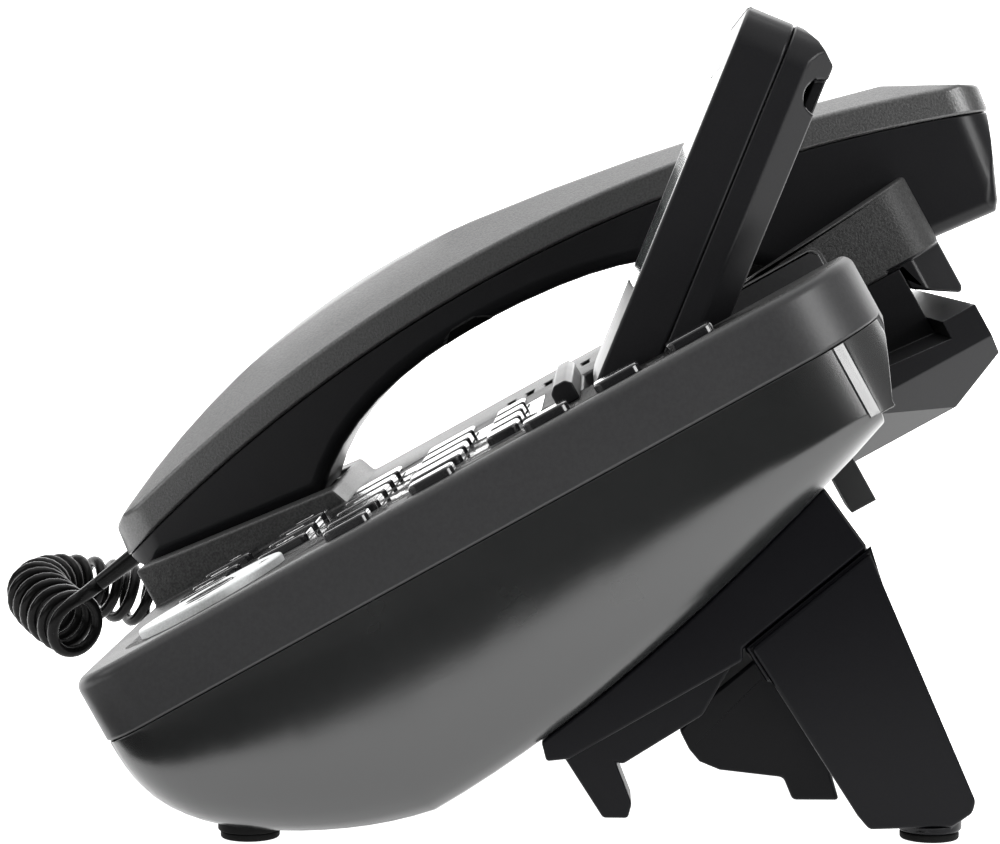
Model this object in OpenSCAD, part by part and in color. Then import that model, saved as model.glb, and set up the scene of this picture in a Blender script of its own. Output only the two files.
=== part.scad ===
// Corded desk phone: a sloping base with keys and a tilting display, a handset on its cradle,
// a slide-on stand and a curly cord. Millimetres: +X to the phone's right, +Y to its rear,
// +Z up, floor at Z 0. The deck frame follows the sloping top: u runs up the slope, v stands on it.

/* [Body] */
// Width of the body
body_w = 190; // [188:1:194]
// Slope of the key deck in degrees
deck_tilt = 29; // [28.5:0.5:29.5]
// Length of the key deck along its slope
deck_len = 168; // [166:1:170]
// Wall thickness of the casings
wall = 2.4; // [2.2:0.1:2.6]
// Thickness of the top plate
plate = 3; // [2.8:0.1:3.2]
// Height of the belly above the floor
belly_gap = 2; // [1.9:0.1:2.4]

/* [Keys] */
// Width of a dial key
key_w = 14; // [12:0.5:15]
// Depth of a dial key
key_l = 11.5; // [10:0.5:12]
// Height of the keys above the deck
key_rise = 1.8; // [1.4:0.1:2.2]
// Travel of the keys
key_travel = 1.2; // [0.8:0.1:1.3]
// Gap round each key
key_gap = 0.35; // [0.3:0.05:0.45]
// Diameter of the navigation ring
nav_d = 32; // [30:0.5:33]

/* [Display] */
// Width of the display
display_w = 79; // [76:1:80]
// Length of the display from its hinge axis
display_len = 77.6; // [76.6:0.2:78.6]
// Half the thickness of the display
display_r = 9.8; // [9.6:0.1:10]
// Angle the display stands open from the deck
display_open = 39; // [37:1:41]
// Diameter of the hinge pins
pin_d = 4; // [3.4:0.2:4.4]

/* [Handset] */
// Width of the handset
handset_w = 50; // [48:0.5:52]
// Length of the handset
handset_len = 221.7; // [219.7:0.5:223.7]
// Slope of the handset against the deck in degrees
handset_lean = 6.3; // [6.1:0.1:6.5]
// Radius of the earpiece
ear_r = 14; // [12:0.5:14.5]

/* [Stand] */
// Width of a stand leg
leg_w = 14; // [12:1:16]
// Thickness of the rubber feet
foot_h = 1.6; // [1.4:0.1:1.8]
// Radius of the rubber feet
foot_r = 5.8; // [5:0.2:6]

/* [Cord] */
// Diameter of the cord
cord_d = 2.8; // [2.6:0.1:2.8]
// Mean radius of the curls
coil_r = 6.7; // [6.4:0.1:6.8]
// Pitch of the curls
curl_pitch = 5; // [4.9:0.1:5.2]

/* [Fits] */
// Gap round parts that slide
slide_gap = 0.3; // [0.25:0.05:0.4]
// Play of the hinge pins on the diameter
pin_play = 0.1; // [0.06:0.02:0.16]
// Gap between seated parts
seat_gap = 0.1; // [0.06:0.02:0.16]

/* [Hidden] */
$fn = 48;
half = body_w / 2;
far = 400;

// Ends of the handset along its own frame, and how far it hangs over the cradle
hand_start = -4.2;
hand_end = hand_start + handset_len;
overhang = 24.5;

// Upper casing: plan radii, cradle edge and the seam with the lower casing
cradle_x = 87 - half;
cradle_len = hand_end - overhang;
front_u = -2;
front_r = 10;
rear_r = 20;
cradle_r = 8;
rim_h = 13.5;
case_seam = -rim_h;
rear_run = 7;
lip_run = 11;
lip_high = -18.8;
lip_low = -25.4;
lip_top = -12.8;
lip_len = 13.7;
lip_in = 1.5;
lip_corner = [7, 7.5];
side_step = 0.5;

// Lower casing: outline of the belly in the deck frame, and how far its sides tuck in
belly_end = deck_len - 10;
belly_front = [[front_u, -26], [1, -36], [23, -52.4], [46, -56.4]];
belly_rear = [[46, -56.4], [80, -55.4], [118, -46], [belly_end, -32]];
belly_tuck = 15;
tuck_start = 0.4;
tuck_lean = 5;
belly_line = concat(bezier(belly_front, 16), [for (i = [1:15]) bezier_at(belly_rear, i / 15)]);
block_x = 20;
block_start = deck_len - 20;
block_end = cradle_len - 3;
block_floor = -44.4;
block_low = -37.8;
block_ledge = -25.8;
block_edge = 11;
tab_size = [16, 6, 19];

// Deck frame in space: its height sets the belly's lowest point at belly_gap
deck_y = -88.6;
deck_z = belly_gap - min([for (p = belly_line) p.x * sin(deck_tilt) + p.y * cos(deck_tilt)]);

// Display hinge and its parts
hinge_u = 120.2;
hinge_v = -5.8;
well_u = hinge_u - display_r - 0.6;
display_x = half - 58.5;
display_gap = 1;
pin_out = 3.6;
pin_in = 5;
hinge_wall = 4;
well_edge = display_x + display_w / 2 + display_gap + hinge_wall;
display_wall = 2.4;
bezel_r = 0.8;
solid_end = 6;
solid_top = 7;
display_corner = 8;
window_w = display_w - 13.4;
window_l = display_len - 31;
window_y = display_len / 2 + 3.2;
window_t = 1.2;
window_ledge = 2.3;
lcd_w = window_w - 5.6;
lcd_l = window_l + 3.4;
lcd_t = 6;
display_screw_at = [[display_w / 2 - 6, 12], [display_w / 2 - 14, display_len - 6.8]];

// Keys: columns, rows and the layers under the plate
key_x0 = half - 93;
key_pitch_x = 21;
key_pitch_u = 18.5;
key_u0 = 77.5;
key_edge_r = 1.5;
flange_w = 1;
flange_t = 0.8;
flange_top = -plate - 0.4;
mat_top = flange_top - flange_t - key_travel - 0.3;
mat_t = 1.4;
board_t = 1.6;
board_bottom = mat_top - mat_t - board_t;
panel_t = 0.8;
panel_r = 19;
nav_x = half - 23;
nav_u = 27;
nav_hub_r = 5.5;
nav_bore_r = nav_hub_r + 0.5;
nav_drop = 0.9;
soft_u = 92.5;
soft_l = 7;
side_in = well_edge + 1.5;
side_out = half - 3.9;
side_x = (side_in + side_out) / 2;
side_w = side_out - side_in;
side_l = 9.6;
side_top = deck_len - 34.7;
side_low = key_u0 - key_pitch_u;
side_rows = [for (k = [1, 0.79, 0.584, 0.249, 0]) side_low + (side_top - side_low) * k];
dial_names = ["1", "2", "3", "4", "5", "6", "7", "8", "9", "star", "0", "hash"];

// Each key: name, x, u, width, depth, side flange
dial_keys = [for (i = [0:11]) [str("key_", dial_names[i]), key_x0 + key_pitch_x * (i % 3),
    key_u0 - key_pitch_u * floor(i / 3), key_w, key_l, flange_w]];
function_keys = [for (i = [0:1]) [str("function_key_", i + 1), key_x0 + 3 * key_pitch_x,
    key_u0 - key_pitch_u * i, key_w, key_l, flange_w]];
soft_keys = [for (i = [0:3]) [str("soft_key_", i + 1), key_x0 + key_pitch_x * i,
    soft_u, key_w, soft_l, flange_w]];
side_keys = [for (i = [0:4]) [str("side_key_", i + 1), side_x, side_rows[i], side_w, side_l, 0]];
keys = concat(dial_keys, function_keys, soft_keys, side_keys);

// Case screws: x, u, where the upper post starts and where it meets the lower boss
post_r = 2.6;
screw_r = 1.4;
head_r = 2.6;
head_t = 1.8;
boss_r = 4.2;
well_floor = -6.4 - display_r;
well_t = 2;
key_cross = [key_x0 + 1.5 * key_pitch_x, key_u0 - 1.5 * key_pitch_u];
screws = [[key_cross.x, key_cross.y, -plate], [-60, 45, -plate],
    [70, 132, well_floor - well_t], [3 - half + 2 * boss_r, cradle_len - 33, -plate]];
post_drop = 2;

// Handset: its frame has a along the handset and b away from the cradle
handset_x = cradle_x - 41;
handset_v = 8.6;
hand_half = handset_w / 2;
shell_r = 339;
shell_a = 133.4;
shell_b = 32.6 - shell_r;
ridge_h = 6.4;
crown_a = 99;
crown_b = 44.5;
crown_front_r = 175;
crown_rear_r = 624;
crown_end = hand_end - 20.5;
shell_t = 2.2;
hand_corner = 9;
hand_fillet = 3.5;
grip_a = hand_end - 105.5;
grip_b = 23;
grip_floor = grip_b + 2.3;
mouth_arch = [[44, 0], [56, 16], [80, grip_b], [grip_a, grip_b]];
ear_arch = [[grip_a, grip_b], [hand_end - 79.5, grip_b], [hand_end - 63.5, 14], [hand_end - 51.5, 0]];
mouth_hollow = [[41.5, shell_t], [54, 18.5], [79, grip_floor], [grip_a, grip_floor]];
ear_hollow = [[grip_a, grip_floor], [hand_end - 78.5, grip_floor], [hand_end - 61.5, 16.5],
    [hand_end - 48.5, shell_t]];
tongue_w = 1.1;
tongue_low = 2.5;
tongue_rise = 1.2;
ear_a = hand_end - 25.5;
ear_h = 8;
mic_a = 22;
mic_r = 5;
mic_h = 4;
weight_size = [28, 28, 5.6];
hand_screw_up = 5;
hand_screws = [for (a = [36, hand_end - 45.5]) [a, roof_b(a) + hand_screw_up]];
hand_boss_gap = 12;
plug_w = 7.6;
plug_start = 3;
plug_end = 12;
plug_b = [2.6, 6.4];
neck_w = 5;
neck_b = [2.6, 4];
boot_l = 12;
boot_r = [2.2, 1.8];
boot_droop = 15;

// Cradle: front cup, rear trough and the hook plunger
cup_len = 48;
cup_rim = 1;
trough_start = hand_end - 69.5;
trough_rise = 3.7;
trough_side = 1;
trough_drop = 0.4;
hook_u = hand_end - 52.5;
hook_r = 4;
hook_flange_r = 6;
hook_flange_t = 2;
hook_lift = 3.6;
trough_block = -17.5;
hook_top = handset_v - (hook_u + hook_r) * tan(handset_lean) - trough_drop;
hook_bottom = trough_block - hook_lift - slide_gap;
speaker_u = 100;
speaker_r = 18;
speaker_t = 9;

// Jacks in the lower casing
jack_u = belly_end - 38;
jack_v = -33;
jack_size = [17, 10, 8];
line_jack_x = [-60, -36];
line_jack_v = [-36.5, -27.5];
line_jack_depth = 14;
line_socket = [10, 6.4];

// Bracket, from its front to just before the rear block, and the sloping seat of the stand under it
bracket_start = 68;
bracket_end = block_start - 2;
bracket_gap = 0.3;
bracket_t = 2.7;
seat_front = [113.5, -57.5];
seat_lean = 10.8;
seat_rear = seat_front + (bracket_end - 2.1 - seat_front.x) * [1, tan(seat_lean)];
bracket_low = [seat_front - [1.1, 2.1], [73.5, -60.3], [69.4, -58.6]];
runner_x = [60, 72];
runner_side = [[72.5, -59], [seat_front.x - 1.3, -59], [100, -66.4], [81.7, -67.4]];
catch_side = [[72, -59], [73, -74.9], [77.3, -77.3], [79.4, -75.1], [80.8, -65], [84, -60]];

// Seam between bracket and stand
seam_low = world(seat_front.x, seat_front.y);
seam_high = world(seat_rear.x, seat_rear.y);
seam_angle = atan2(seam_high.y - seam_low.y, seam_high.x - seam_low.x);
seam_len = norm(seam_high - seam_low);
arm_x = [62, 79];
rib_x = [24, 36];
rail_x = 30;
rail_neck = [4, 2];
rail_head = [8, 2];
rail_end = 3;
plate_t = 8;
plate_taper = 2.4;
plate_half = 79;
centre_half = 50;
window_half = 24;
leg_outer = 80;
front_foot = [76, -57.6];
rear_foot = [73, 75.4];
boss_foot_r = foot_r + 0.5;

// Cord: route of the coil's axis by hand, from the handset end to the base end
route = [[-50, -113, 23], [-61, -121, 25.5], [-76, -127.5, 28], [-91, -124.5, 28], [-102, -112, 25],
    [-108, -95, 19.5], [-110, -76, 13.5], [-111, -55, 9.6], [-111, -30, 9], [-111, 0, 9]];
curl_steps = 8;
cord_sides = 6;
start_phase = 128;
tail_steps = 12;

// Points on curves and outlines
function bezier_at(p, t) = pow(1 - t, 3) * p[0] + 3 * t * pow(1 - t, 2) * p[1]
    + 3 * t * t * (1 - t) * p[2] + pow(t, 3) * p[3];
function bezier(p, n) = [for (i = [0:n]) bezier_at(p, i / n)];
function arc(c, r, a0, a1, n = 6) = [for (i = [0:n]) let(a = a0 + (a1 - a0) * i / n)
    c + r * [cos(a), sin(a)]];
function round_rect(a, b, r, n = 6) = concat(arc([b.x - r, b.y - r], r, 0, 90, n),
    arc([a.x + r, b.y - r], r, 90, 180, n), arc([a.x + r, a.y + r], r, 180, 270, n),
    arc([b.x - r, a.y + r], r, 270, 360, n));
function reversed(p) = [for (i = [len(p) - 1:-1:0]) p[i]];
function world(u, v) = [deck_y + u * cos(deck_tilt) - v * sin(deck_tilt),
    deck_z + u * sin(deck_tilt) + v * cos(deck_tilt)];
function tuck_v(u) = case_seam - tuck_start - max(0, u) * tan(tuck_lean);
function unit(p) = p / norm(p);

// Placing
module deck() translate([0, deck_y, deck_z]) rotate([deck_tilt, 0, 0]) children();
module display_frame()
    deck() translate([display_x, hinge_u, hinge_v]) rotate([display_open, 0, 0]) children();
module handset_frame()
    deck() translate([handset_x, 0, handset_v]) rotate([-handset_lean, 0, 0]) children();
module seam_frame() translate([0, seam_low.x, seam_low.y]) rotate([seam_angle, 0, 0]) children();
module both_sides() {
    children();
    mirror([1, 0, 0]) children();
}
module box(a, b) translate(a) cube(b - a);
module rod_x(x0, x1, r) translate([x0, 0, 0]) rotate([0, 90, 0]) cylinder(h = x1 - x0, r = r);
module rod_z(z0, z1, r) translate([0, 0, z0]) cylinder(h = z1 - z0, r = r);
module along_x(x0, x1) translate([x0, 0, 0]) rotate([90, 0, 90]) linear_extrude(x1 - x0) children();
module along_y(y0, y1) translate([0, y1, 0]) rotate([90, 0, 0]) linear_extrude(y1 - y0) children();

// Plan of the upper casing, drawn in by i
function upper_plan(i) = concat(arc([half - front_r, front_u + front_r], front_r - i, 270, 360),
    arc([half - rear_r, deck_len - rear_r], rear_r - i, 0, 90, 8),
    [[cradle_x - i, deck_len - i]],
    arc([cradle_x - cradle_r, cradle_len - cradle_r], cradle_r - i, 0, 90),
    arc([cradle_r - half, cradle_len - cradle_r], cradle_r - i, 90, 180),
    arc([front_r - half, front_u + front_r], front_r - i, 180, 270));

// Side outline of the upper casing down to the seam, and the slope under the rear of the key side
function case_side() = let(start = front_u - 1, u = cradle_len - lip_run)
    [[start, 0], [cradle_len, 0], [cradle_len, lip_low + 1], [cradle_len - 1, lip_low], [u, lip_high],
    [u, case_seam], [start, case_seam]];
function rear_slope() = let(u = deck_len - rear_run)
    [[deck_len, case_seam], [u, tuck_v(u)], [u, -60], [deck_len + 1, -60], [deck_len + 1, case_seam]];
module case_plan(i) translate([0, 0, -60]) linear_extrude(60) polygon(upper_plan(i));
module cut_rear_slope() difference() {
    children();
    along_x(cradle_x - side_step, half + 1) polygon(rear_slope());
}

module upper_block() difference() {
    intersection() {
        case_plan(0);
        along_x(-half - 1, half + 1) polygon(case_side());
    }
    lip_relief();
}

// Relief of the lip behind the cradle: its key side is set in and its corner cut off
module lip_relief() translate([cradle_x - lip_in, cradle_len, -60]) linear_extrude(60 + lip_top)
    polygon([[0, -lip_len], [lip_in + 1, -lip_len], [lip_in + 1, 1], [-lip_corner.x, 1], [-lip_corner.x, 0],
        [0, -lip_corner.y]]);

module upper_hollow() {
    intersection() {
        translate([0, 0, -60]) linear_extrude(60 - plate) polygon(upper_plan(wall));
        union() {
            box([-half, front_u, -60], [half, deck_len - rear_run - 2 * wall, 0]);
            box([-half, deck_len - 2 * rear_r, -60], [cradle_x - wall, cradle_len - lip_run - wall, 0]);
        }
    }
}

// Top of the cradle's front cup and rear walls at u
function cup_v(u) = handset_v + cup_rim - u * tan(handset_lean);

module cradle_walls() intersection() {
    along_x(2 - half, cradle_x) {
        polygon([[0.5, -1], [0.5, cup_v(0)], [cup_len, cup_v(cup_len)], [cup_len + 2, -1]]);
        polygon([[trough_start - 2, -1], [trough_start + 2, 0.2], [cradle_len, trough_rise],
            [cradle_len, -1]]);
    }
    translate([0, 0, -2]) linear_extrude(40) polygon(upper_plan(0));
}

// Block under the trough, joined to the lip and let into the lower casing; grown by gap
module trough_base(gap) {
    w = hand_half + trough_side + wall + gap;
    box([handset_x - w, trough_start - 6 - gap, trough_block - gap],
        [handset_x + w, cradle_len - lip_run + 0.5, -1]);
}

module cradle_cuts() {
    w = hand_half + trough_side;
    translate([handset_x, 0, handset_v]) rotate([-handset_lean, 0, 0]) {
        box([-w, -20, -trough_drop], [w, 46.5, 40]);
        box([-w, trough_start + 2, -trough_drop], [w, 260, 40]);
    }
    translate([handset_x, hook_u, 0]) rod_z(trough_block - 1, 10, hook_r + slide_gap);
}

// Tray round the display's well, let into the lower casing; grown by gap
module well_tray(gap) cut_rear_slope() intersection() {
    box([2 * display_x - well_edge - gap, well_u - well_t - gap, well_floor - well_t - gap],
        [well_edge + gap, deck_len + 1, -1]);
    case_plan(0);
}

module well_cut() {
    w = display_w / 2 + display_gap;
    box([display_x - w, well_u, well_floor], [display_x + w, far, far]);
    bore_w = w + pin_out + seat_gap;
    translate([display_x, hinge_u, hinge_v]) rod_x(-bore_w, bore_w, (pin_d + pin_play) / 2);
}

module key_hole(k) {
    w = [k[3] / 2 + key_gap, k[4] / 2 + key_gap];
    translate([k[1], k[2], -10]) linear_extrude(20) polygon(round_rect(-w, w, key_edge_r, 3));
}

module key_holes() {
    for (k = keys) key_hole(k);
    translate([nav_x, nav_u, 0]) rod_z(-10, 10, nav_d / 2 + key_gap);
}

module panel_shape(gap, depth) {
    box([key_x0 - 9 - gap, 12 - gap, -depth], [key_x0 + 78 + gap, 100 + gap, 0]);
    translate([nav_x, nav_u, 0]) rod_z(-depth, 0, panel_r + gap);
}

module speaker_slots() {
    for (i = [-2:2]) translate([handset_x, speaker_u + 5 * i, 0]) box([-9, -1, -10], [9, 1, 10]);
}

module upper_posts() {
    for (s = screws) translate([s[0], s[1], 0]) difference() {
        rod_z(tuck_v(s[1]) - post_drop, s[2] + 0.5, post_r);
        rod_z(-60, s[2] - 1.5, screw_r + 0.04);
    }
}

module upper_housing() color("#242526") deck() {
    difference() {
        union() {
            difference() {
                upper_block();
                upper_hollow();
            }
            well_tray(0);
            trough_base(0);
            cradle_walls();
        }
        cradle_cuts();
        well_cut();
        key_holes();
        panel_shape(seat_gap, panel_t);
        speaker_slots();
        line_jack_hole(seat_gap);
    }
    upper_posts();
}

// Half width of the belly's right side at u, following the plan of the upper casing
function belly_left(u) = let(f = max(0, front_u + front_r - u))
    half - side_step - (front_r - sqrt(front_r * front_r - f * f));
function belly_right(u) = let(d = max(0, u - (deck_len - rear_r)))
    belly_left(u) - (rear_r - sqrt(rear_r * rear_r - d * d));

// One ring of the belly: left side straight, then rolled in, floor, right side; inside rings pass the seam
function belly_ring(p, t, n = 8) = let(
    brim = t == 0 ? case_seam - seat_gap : case_seam + 1,
    top = tuck_v(p.x),
    depth = top - p.y - t,
    left = belly_left(p.x) - t,
    right = belly_right(p.x) - t,
    roll = [for (i = [0:n]) [belly_tuck * (1 - cos(90 * i / n)), top - depth * sin(90 * i / n)]],
    low = [for (r = roll) [r.x - left, p.x, r.y]],
    high = [for (r = reversed(roll)) [right - r.x, p.x, r.y]])
    concat([[-left, p.x, brim]], low, high, [[right, p.x, brim]]);

// Side faces of a tube of rings, and the faces of one with fan caps at both ends
function tube_walls(rings, sides) = [for (i = [0:rings - 2]) for (j = [0:sides - 1]) each
    let(a = i * sides + j, b = i * sides + (j + 1) % sides)
    [[a, b, b + sides], [a, b + sides, a + sides]]];
function tube_faces(rings, sides) = concat(tube_walls(rings, sides),
    [for (j = [1:sides - 2]) [0, j + 1, j]],
    [for (j = [1:sides - 2]) [for (m = [0, j, j + 1]) m + (rings - 1) * sides]]);

module belly(t) {
    line = t == 0 ? belly_line : [for (p = belly_line)
        [min(max(p.x, front_u + t), belly_end - t), p.y]];
    rings = [for (p = line) belly_ring(p, t)];
    polyhedron([for (r = rings) each r], tube_faces(len(rings), len(rings[0])));
}

// Cross-section of the rear block, drawn in by t: its key side is cut off below
function block_section(t) = let(s = (sqrt(2) - 1) * t) [[1 - half + t, 0], [1 - half + t, block_floor + t],
    [block_x - block_edge - s, block_floor + t], [block_x - t, block_floor + block_edge + s],
    [block_x - t, 0]];

// Block under the cradle's rear: a ledge behind the upper casing, closed beside it
module rear_block() intersection() {
    wall_u = cradle_len - lip_run + seat_gap;
    along_x(1 - half, block_x) polygon([[block_start, tuck_v(block_start)],
        [block_start, block_floor], [block_end - 13, block_floor], [block_end, block_low],
        [block_end, block_ledge], [wall_u, block_ledge], [wall_u, tuck_v(wall_u)]]);
    along_y(block_start - 1, block_end + 1) polygon(block_section(0));
}

// Straight wall behind the belly, from the seam down to the block, round the rear of the plan
module rear_collar() cut_rear_slope() intersection() {
    top = case_seam - seat_gap;
    end = cradle_len - lip_run - seat_gap;
    foot = end + 2 * wall;
    case_plan(side_step);
    along_x(-half, half) polygon([[belly_end - wall, top], [end, top], [end, block_ledge - 1],
        [foot, block_ledge - 1], [foot, tuck_v(foot) - 1], [belly_end - wall, tuck_v(belly_end) - 1]]);
}

module rear_hollow() {
    top = tuck_v(block_end) - wall;
    intersection() {
        along_x(1 - half, block_x) polygon([[block_start + wall, top],
            [block_start + wall, block_floor], [block_end - 13 - wall, block_floor + wall],
            [block_end - wall, block_low + 1], [block_end - wall, top]]);
        along_y(block_start, block_end) polygon(block_section(wall));
    }
    box([1 - half + wall, block_start - 10, top - 1], [cradle_x - 2 * wall, cradle_len - lip_run - wall, 0]);
}

module lower_bosses(r) {
    for (s = screws) translate([s[0], s[1], 0]) rod_z(-60, tuck_v(s[1]) - post_drop - seat_gap, r);
}

module lower_outside() {
    belly(0);
    rear_block();
    rear_collar();
}

module line_jack_hole(gap) box([line_jack_x[0] - gap, block_end - line_jack_depth, line_jack_v[0] - gap],
    [line_jack_x[1] + gap, block_end + 5, line_jack_v[1] + gap]);

module lower_housing() color("#2a2b2c") {
    deck() difference() {
        union() {
            difference() {
                lower_outside();
                belly(wall);
                rear_hollow();
            }
            intersection() {
                lower_bosses(boss_r);
                lower_outside();
            }
            translate([block_x - tab_size.x, block_start - 2, block_floor + block_edge - tab_size.z])
                cube(tab_size);
        }
        lower_bosses(screw_r + 0.3);
        for (s = screws) translate([s[0], s[1], 0])
            rod_z(-70, tuck_v(s[1]) - post_drop - 4, head_r + 0.3);
        well_tray(seat_gap);
        trough_base(seat_gap);
        line_jack_hole(seat_gap);
        box([-half - 5, jack_u - jack_size.y / 2 - seat_gap, jack_v - jack_size.z / 2 - seat_gap],
            [4 - half + jack_size.x + seat_gap, jack_u + jack_size.y / 2 + seat_gap,
            jack_v + jack_size.z / 2 + seat_gap]);
    }
    both_sides() translate([front_foot.x, front_foot.y, 0]) rod_z(foot_h, 6.4, boss_foot_r);
}

module key_panel() color("#151617") deck() difference() {
    panel_shape(0, panel_t);
    key_holes();
}

module hinge_cover() color("#1b1c1d") deck() {
    w = display_w / 2 - 1.5;
    along_x(display_x - w, display_x + w) polygon([[well_u - 5.3, 0], [well_u - 0.5, 0],
        [well_u - 0.5, 3.4], [well_u - 1.6, 4.5], [well_u - 4, 4.5], [well_u - 5.3, 3.2]]);
}

// Layer under the keys, with a strip for the upper side keys
module under_keys(z0, z1, grow) {
    box([key_x0 - 7.5 - grow, 12 - grow, z0], [half - 5 - grow / 2, 101 + grow, z1]);
    box([side_in + 0.2, 101, z0], [half - 5 - grow / 2, side_top + 6.7 + grow, z1]);
}

module main_board() color("#23512f") deck() difference() {
    under_keys(board_bottom, board_bottom + board_t, 3);
    translate([key_cross.x, key_cross.y, 0]) rod_z(-40, 0, post_r + 0.5);
}

module key_mat() color("#6f7275") deck() difference() {
    under_keys(mat_top - mat_t, mat_top, 0);
    translate([key_cross.x, key_cross.y, 0]) rod_z(-40, 0, post_r + 0.5);
}

module base_speaker() color("#3a3a3c") deck() translate([handset_x, speaker_u, 0]) {
    rod_z(-plate - speaker_t + 4, -plate - seat_gap, speaker_r);
    rod_z(-plate - speaker_t, -plate - speaker_t + 4.5, speaker_r * 0.6);
}

module line_jacks() color("#17181a") deck() {
    mid = (line_jack_v[0] + line_jack_v[1]) / 2;
    difference() {
        box([line_jack_x[0], block_end - line_jack_depth, line_jack_v[0]],
            [line_jack_x[1], block_end, line_jack_v[1]]);
        for (i = [-1, 1]) translate([(line_jack_x[0] + line_jack_x[1]) / 2 + 6 * i, block_end - 11, mid])
            box([-line_socket.x / 2, 0, -line_socket.y / 2], [line_socket.x / 2, 20, line_socket.y / 2]);
    }
}

module base_jack() color("#17181a") deck() difference() {
    box([4 - half, jack_u - jack_size.y / 2, jack_v - jack_size.z / 2],
        [4 - half + jack_size.x, jack_u + jack_size.y / 2, jack_v + jack_size.z / 2]);
    box([-half, jack_u - plug_w / 2 - 0.2, jack_v - 3.1],
        [16 - half, jack_u + plug_w / 2 + 0.2, jack_v + 3.1]);
}

module screw(z0, z1, hr, r, ht) {
    rod_z(z0 - ht, z0, hr);
    rod_z(z0 - 0.2, z1, r);
}

module case_screws() color("#8f9295") deck() {
    for (s = screws) translate([s[0], s[1], 0])
        screw(tuck_v(s[1]) - post_drop - 4, tuck_v(s[1]) + 3, head_r, screw_r, head_t);
}

module foot(p) translate([p.x, p.y, 0]) rod_z(0, foot_h, foot_r);

module front_feet() color("#101011") both_sides() foot(front_foot);

// Points along the underside of the belly between x0 and x1, dropped by gap
function under_belly(x0, x1, gap) = [for (i = [0:30]) let(p = bezier_at(belly_rear, i / 30))
    if (p.x > x0 && p.x < x1) p - [0, gap]];

// Side outline of the bracket: along the belly above, the stand's seat below
function bracket_side() = concat(under_belly(bracket_start, bracket_end, bracket_gap),
    [seat_rear, seat_front], bracket_low);

module bracket_plate() {
    start = seat_front.x - 7.5;
    end = bracket_end - 2;
    along_x(-arm_x[0], arm_x[0]) polygon(concat(under_belly(start, end, bracket_gap),
        reversed(under_belly(start, end, bracket_gap + bracket_t))));
}

module bracket_arm() {
    along_x(arm_x[0], arm_x[1]) polygon(bracket_side());
    along_x(runner_x[0], runner_x[1]) polygon(runner_side);
    along_x(runner_x[0], runner_x[1]) polygon(catch_side);
}

module bracket_rib() intersection() {
    along_x(rib_x[0], rib_x[1]) polygon(bracket_side());
    box([0, seat_front.x - 5.5, -far], [far, far, 0]);
}

module stand_bracket() color("#1f2021") {
    deck() {
        both_sides() {
            bracket_arm();
            bracket_rib();
        }
        bracket_plate();
    }
    both_sides() seam_frame() {
        box([rail_x - rail_neck.x / 2, 2, -rail_neck.y - 0.5],
            [rail_x + rail_neck.x / 2, seam_len - rail_end, 1]);
        box([rail_x - rail_head.x / 2, 2, -rail_neck.y - rail_head.y],
            [rail_x + rail_head.x / 2, seam_len - rail_end, -rail_neck.y]);
    }
}

module rail_slot() {
    g = slide_gap;
    box([rail_x - rail_neck.x / 2 - g, -far, -rail_neck.y - 1],
        [rail_x + rail_neck.x / 2 + g, seam_len - rail_end + g, 1]);
    box([rail_x - rail_head.x / 2 - g, -far, -rail_neck.y - rail_head.y - g],
        [rail_x + rail_head.x / 2 + g, seam_len - rail_end + g, -rail_neck.y + g]);
}

// Points of the stand in the Y-Z plane
leg_side = [seam_low + [1.4, 0], seam_high + [0.3, -1], [83.6, 8.4], [83, 6.1], [79.1, 3.4], [63.1, 2.8],
    [60.8, 5.5]];
bow_side = [seam_low + [6.9, -4], [32.3, 23.1], [27.1, 16.9], [29.2, 12.8], [31.3, 10.3], [35.4, 8.6],
    [47.8, 7.2], [58.1, 6.6]];
bow_inner = [[58.3, 9], [48, 9.6], [36.4, 11], [33, 12.4], [31.4, 14.4], [30.2, 16.8],
    [34.6, 21.8], seam_low + [9.3, -5.6]];
bow_lip = [[48.2, 7.6], [50.3, 2.5], [59.8, 2.5], [58.1, 8.4]];
bow_cheek = [[63.4, 48], [53.4, 42]];

module stand_top() seam_frame() both_sides() difference() {
    along_x(window_half, plate_half) polygon([[0, -plate_t], [seam_len - plate_taper, -plate_t],
        [seam_len, -slide_gap], [0, -slide_gap]]);
    rail_slot();
}

module stand_bow() {
    along_x(-centre_half, centre_half) polygon(concat(bow_side, bow_inner));
    along_x(-centre_half, centre_half) polygon(bow_lip);
    both_sides() along_x(centre_half - wall, centre_half) polygon(concat(bow_side, bow_cheek));
}

module stand_leg() {
    difference() {
        along_x(leg_outer - leg_w, leg_outer) polygon(leg_side);
        seam_frame() box([0, -far, -slide_gap], [far, far, far]);
    }
    translate([rear_foot.x, rear_foot.y, 0]) rod_z(foot_h, 4.4, boss_foot_r);
}

module stand() color("#1c1d1e") {
    stand_top();
    stand_bow();
    both_sides() stand_leg();
}

module stand_feet() color("#101011") both_sides() foot(rear_foot);

module hook_plunger() color("#d8d8d4") deck() translate([handset_x, hook_u, 0]) {
    rod_z(hook_bottom, hook_top, hook_r);
    rod_z(hook_bottom - hook_flange_t, hook_bottom, hook_flange_r);
}

module hook_switch() color("#2b2c30") deck()
    translate([handset_x, hook_u, hook_bottom - hook_flange_t - seat_gap]) box([-6, -5, -4], [6, 5, 0]);

// A slice of the display from its side outline, with the two upper corners of its front rounded
module display_shape(points) intersection() {
    w = display_w / 2;
    along_x(-w, w) polygon(points);
    translate([0, 0, -2 * display_r]) linear_extrude(4 * display_r) polygon(concat(
        arc([w - display_corner, display_len - display_corner], display_corner, 0, 90),
        arc([display_corner - w, display_len - display_corner], display_corner, 90, 180),
        [[-w, -2 * display_r], [w, -2 * display_r]]));
}

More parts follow.
